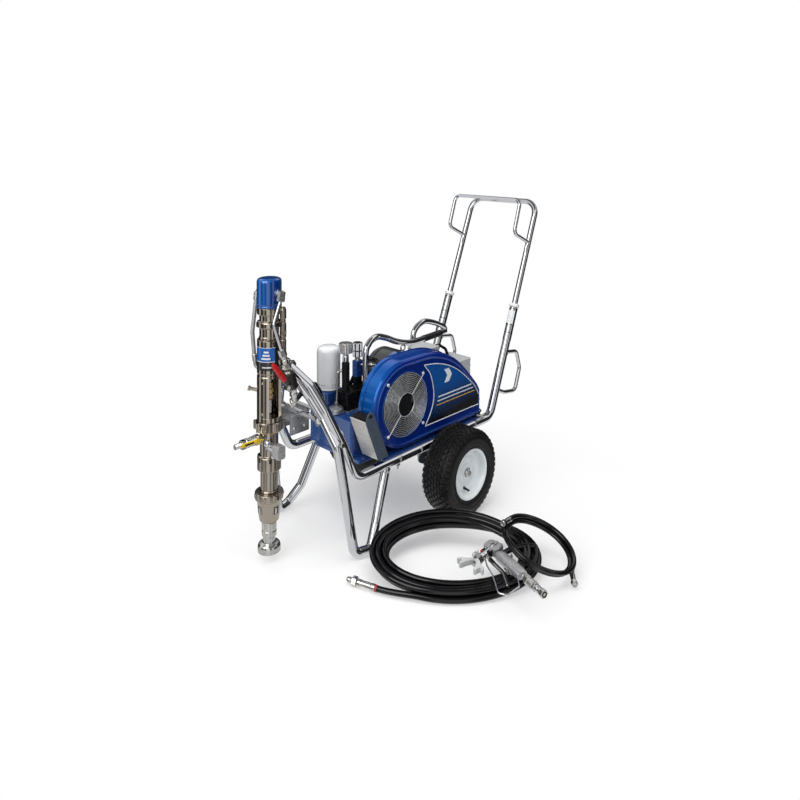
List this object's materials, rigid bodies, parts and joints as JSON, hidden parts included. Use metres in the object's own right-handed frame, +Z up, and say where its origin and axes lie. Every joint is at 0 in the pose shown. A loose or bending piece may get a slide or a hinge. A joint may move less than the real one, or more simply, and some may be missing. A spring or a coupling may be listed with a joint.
{
  "type": "airless paint sprayer",
  "caption": "Wheeled electric-hydraulic airless paint sprayer: tilting paint pump on a chrome cart with belt guard, oil filter, sliding handle, hose coil, whip hose and spray gun.",
  "frame": {"origin": "middle of the flat foot of the intake strainer, 28 mm above the floor", "axes": "-X along the fluid outlet towards the front, +X towards the handle, -Y towards the belt guard side, +Z up"},
  "size_m": [1.5016, 1.1886, 1.158],
  "materials": {
    "chrome_tube": "polished chrome plate",
    "deck_blue": "gloss enamel",
    "guard_blue": "metallic enamel",
    "pump_blue": "gloss enamel",
    "filter_white": "gloss white enamel",
    "duct_white": "satin coat",
    "rim_white": "gloss white enamel",
    "tyre_rubber": "moulded turf tread",
    "collar_white": "moulded",
    "nickel": "dark electroless nickel",
    "zinc_steel": "zinc plate",
    "steel": "brushed",
    "dark_iron": "black coated",
    "motor_grey": "satin grey",
    "box_grey": "light grey powder coat",
    "valve_iron": "phosphate coated",
    "alu_knob": "knurled",
    "alu_cast": "cast",
    "fan_metal": "pressed blades",
    "red_grip": "dipped vinyl",
    "yellow_grip": "dipped vinyl",
    "black_rubber": "smooth",
    "black_plastic": "moulded",
    "gun_grey": "cast",
    "handle_grey": "moulded",
    "tip_grey": "moulded"
  },
  "bodies": {
    "chassis": {"frame_tubes": "chrome_tube", "legs": "chrome_tube", "handle_sleeves": "chrome_tube", "sleeve_collars": "collar_white", "axle": "steel", "deck_plate": "deck_blue", "reservoir": "deck_blue", "filter_head": "deck_blue", "filter_can": "filter_white", "relief_valve": "black_plastic", "suction_dome": "alu_cast", "steel_lines": "zinc_steel", "hydraulic_pump": "dark_iron", "motor_body": "motor_grey", "junction_box": "box_grey", "electrical_box": "box_grey", "belt_guard": "guard_blue", "fan_grille": "chrome_tube", "drive_belt": "black_rubber", "air_duct": "duct_white", "lift_bar": "chrome_tube", "pump_bracket": "steel", "supply_hose": "black_rubber"},
    "wheel_near": {"tyre_near": "tyre_rubber", "rim_near": "rim_white"},
    "wheel_far": {"tyre_far": "tyre_rubber", "rim_far": "rim_white"},
    "handle": {"upper_handle": "chrome_tube", "handle_rungs": "chrome_tube"},
    "control_knob": {"pressure_knob": "alu_knob"},
    "tank_cap": {"filler_cap": "chrome_tube"},
    "switch": {"power_switch": "black_plastic"},
    "fan": {"fan_rotor": "fan_metal"},
    "motor_shaft": {"motor_pulley": "dark_iron"},
    "latch": {"bail": "chrome_tube"},
    "pump": {"pump_cap": "pump_blue", "fluid_motor": "nickel", "pump_housing": "nickel", "clamp_ring": "nickel", "lower_cylinder": "nickel", "intake_housing": "nickel", "strainer": "zinc_steel", "pressure_line": "chrome_tube", "control_valve": "valve_iron", "return_hose": "steel", "outlet_valve": "zinc_steel"},
    "piston": {"pump_rod": "chrome_tube"},
    "hydraulic_lever": {"red_lever": "red_grip"},
    "fluid_lever": {"yellow_lever": "yellow_grip"},
    "drain": {"drain_knob": "gun_grey"},
    "hose": {"hose_coil": "black_rubber", "coil_fittings": "zinc_steel"},
    "whip": {"whip_hose": "black_rubber", "whip_fittings": "zinc_steel"},
    "gun": {"gun_body": "gun_grey", "gun_handle": "handle_grey"},
    "swivel": {"gun_swivel": "zinc_steel"},
    "trigger": {"gun_trigger": "dark_iron"},
    "guard": {"tip_guard": "tip_grey"},
    "tip": {"spray_tip": "black_plastic"}
  },
  "joints": [
    {"name": "wheel_near_spin", "type": "hinge", "parent": "chassis", "child": "wheel_near", "pos_m": [0.686, -0.27, 0.132], "axis": [0, 1, 0], "continuous": true},
    {"name": "wheel_far_spin", "type": "hinge", "parent": "chassis", "child": "wheel_far", "pos_m": [0.686, 0.27, 0.132], "axis": [0, 1, 0], "continuous": true},
    {"name": "handle_slide", "type": "slide", "parent": "chassis", "child": "handle", "axis": [0.382, 0, 0.9242], "range_m": [-0.22, 0]},
    {"name": "knob_turn", "type": "hinge", "parent": "chassis", "child": "control_knob", "pos_m": [0.356, 0.01, 0.572], "axis": [0, 0, 1], "range_deg": [0, 330]},
    {"name": "cap_turn", "type": "hinge", "parent": "chassis", "child": "tank_cap", "pos_m": [0.424, 0.018, 0.572], "axis": [0, 0, 1], "range_deg": [0, 330]},
    {"name": "switch_turn", "type": "hinge", "parent": "chassis", "child": "switch", "pos_m": [0.982, -0.035, 0.412], "axis": [1, 0, 0], "range_deg": [0, 90]},
    {"name": "fan_spin", "type": "hinge", "parent": "chassis", "child": "fan", "pos_m": [0.473, -0.134, 0.416], "axis": [0, 1, 0], "continuous": true},
    {"name": "motor_spin", "type": "hinge", "parent": "chassis", "child": "motor_shaft", "pos_m": [0.644, -0.134, 0.444], "axis": [0, 1, 0], "continuous": true},
    {"name": "bail_swing", "type": "hinge", "parent": "chassis", "child": "latch", "pos_m": [0.186, 0, 0.36], "axis": [0, 1, 0], "range_deg": [0, 40]},
    {"name": "pump_tilt", "type": "hinge", "parent": "chassis", "child": "pump", "pos_m": [0.06, 0, 0.627], "axis": [0, 1, 0], "range_deg": [0, 55], "deforming": ["supply_hose"]},
    {"name": "rod_stroke", "type": "slide", "parent": "pump", "child": "piston", "axis": [0, 0, 1], "range_m": [-0.055, 0]},
    {"name": "hydraulic_lever_turn", "type": "hinge", "parent": "pump", "child": "hydraulic_lever", "pos_m": [-0.004, -0.12, 0.577], "axis": [0, 1, 0], "range_deg": [0, 90]},
    {"name": "fluid_lever_turn", "type": "hinge", "parent": "pump", "child": "fluid_lever", "pos_m": [-0.052, -0.024, 0.389], "axis": [0, 1, 0], "range_deg": [-90, 0]},
    {"name": "drain_turn", "type": "hinge", "parent": "pump", "child": "drain", "pos_m": [-0.019, -0.079, 0.362], "axis": [0, -1, 0], "range_deg": [0, 90]},
    {"name": "hose_pull", "type": "slide", "parent": "chassis", "child": "hose", "axis": [0, -1, 0], "range_m": [0, 0.3]},
    {"name": "whip_lift", "type": "slide", "parent": "hose", "child": "whip", "axis": [0, 0, 1], "range_m": [0, 0.15]},
    {"name": "gun_lift", "type": "slide", "parent": "hose", "child": "gun", "axis": [-0.8029, -0.3512, 0.4817], "range_m": [0, 0.2]},
    {"name": "swivel_turn", "type": "hinge", "parent": "gun", "child": "swivel", "pos_m": [0.44, -0.63, 0.054], "axis": [-0.3201, -0.9474, 0], "continuous": true},
    {"name": "trigger_pull", "type": "hinge", "parent": "gun", "child": "trigger", "pos_m": [0.4, -0.626, 0.054], "axis": [0, 0, 1], "range_deg": [0, 9]},
    {"name": "guard_turn", "type": "hinge", "parent": "gun", "child": "guard", "pos_m": [0.434, -0.6, 0.054], "axis": [-0.9988, -0.0499, 0], "range_deg": [0, 45]},
    {"name": "tip_turn", "type": "hinge", "parent": "guard", "child": "tip", "pos_m": [0.3531, -0.60405, 0.054], "axis": [0, 0, 1], "range_deg": [0, 180]}
  ],
  "couplings": [
    {"joint": "motor_spin", "follows": "fan_spin", "ratio": 2}
  ]
}
